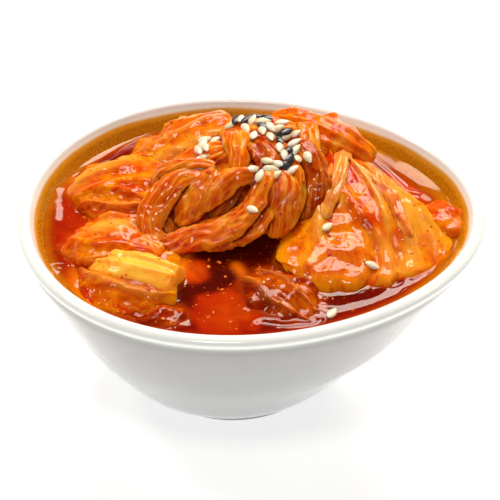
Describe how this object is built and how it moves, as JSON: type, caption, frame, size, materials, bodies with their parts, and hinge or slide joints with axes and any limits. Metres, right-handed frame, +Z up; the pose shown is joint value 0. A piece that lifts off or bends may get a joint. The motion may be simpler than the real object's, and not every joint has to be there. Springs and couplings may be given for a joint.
{
  "type": "kimchi in a small bowl",
  "caption": "Cut cabbage kimchi in red-orange juice, with a heap of torn strips and sesame seeds on top, in a small egg-shaped porcelain bowl.",
  "frame": {"origin": "middle of the bowl's outline on the table it stands on", "axes": "+X towards the bowl's pointed end, along its longest extent; +Y to the back; +Z up"},
  "size_m": [0.0952, 0.0836, 0.052],
  "materials": {
    "porcelain": "white gloss glaze",
    "juice": "clear red-orange liquid, wet gloss",
    "leaf": "wet, translucent, orange",
    "strip": "wet, translucent, brown-orange"
  },
  "bodies": {
    "root": {"bowl": "porcelain", "juice": "juice", "strip_heap": "strip", "leaf_fold": "leaf", "leaf_fan": "leaf", "leaf_back_left": "leaf", "leaf_upper_left": "leaf", "leaf_mid_left": "leaf", "rib_lower_left": "leaf", "leaf_skirt": "leaf", "leaf_front_left": "leaf", "leaf_front": "leaf", "leaf_far_right": "leaf"}
  },
  "joints": []
}
